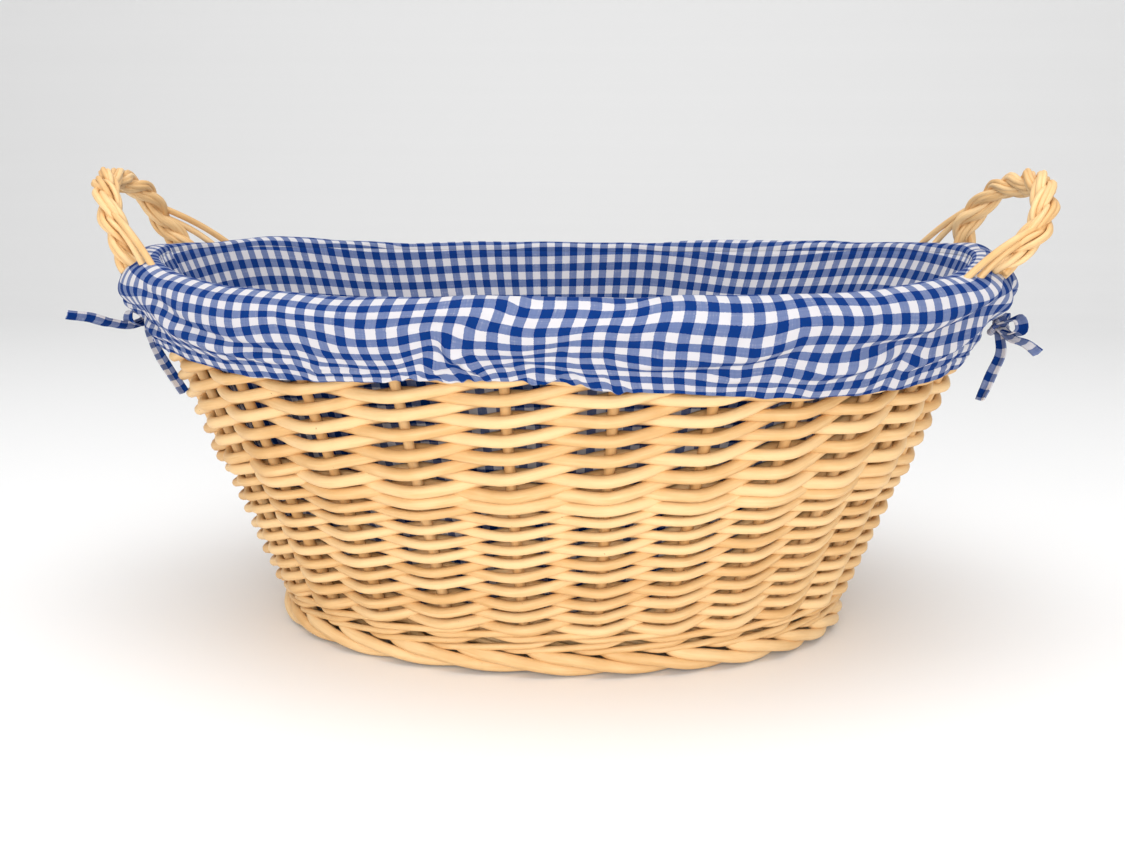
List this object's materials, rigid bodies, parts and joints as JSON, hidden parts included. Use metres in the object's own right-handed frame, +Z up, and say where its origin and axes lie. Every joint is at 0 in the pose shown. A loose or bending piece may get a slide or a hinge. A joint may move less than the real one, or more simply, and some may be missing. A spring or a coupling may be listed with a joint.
{
  "type": "bread basket",
  "caption": "Oval buff willow bread basket with flared randed walls, roped end handles and a tied checked cotton liner, for serving and storing bread.",
  "frame": {"origin": "on the floor, under the middle of the basket", "axes": "+X to the right-hand handle, -Y to the front, +Z up"},
  "size_m": [0.5285, 0.341, 0.2595],
  "materials": {
    "straw": "satin peeled willow",
    "pale_straw": "satin peeled willow",
    "dark_straw": "satin peeled willow",
    "gingham": "plain-woven blue and white checked cotton",
    "tie_tape": "folded checked cotton tape"
  },
  "bodies": {
    "root": {"foot_border": "straw", "base_cross_sticks": "straw", "base_long_sticks": "pale_straw", "base_weave": "pale_straw", "stakes": "straw", "upsett_wale": "straw", "lower_weave": "pale_straw", "upper_weave": "straw", "rim_border": "dark_straw", "left_handle_bow": "dark_straw", "right_handle_bow": "dark_straw", "left_handle_rope": "straw", "right_handle_rope": "straw", "liner_floor": "gingham", "liner_wall": "gingham", "front_skirt": "gingham", "back_skirt": "gingham", "front_drawstring": "tie_tape", "back_drawstring": "tie_tape", "left_tie_knot": "tie_tape", "right_tie_knot": "tie_tape", "left_tie_loops": "tie_tape", "right_tie_loops": "tie_tape", "left_tie_tails": "tie_tape", "right_tie_tails": "tie_tape"}
  },
  "joints": []
}
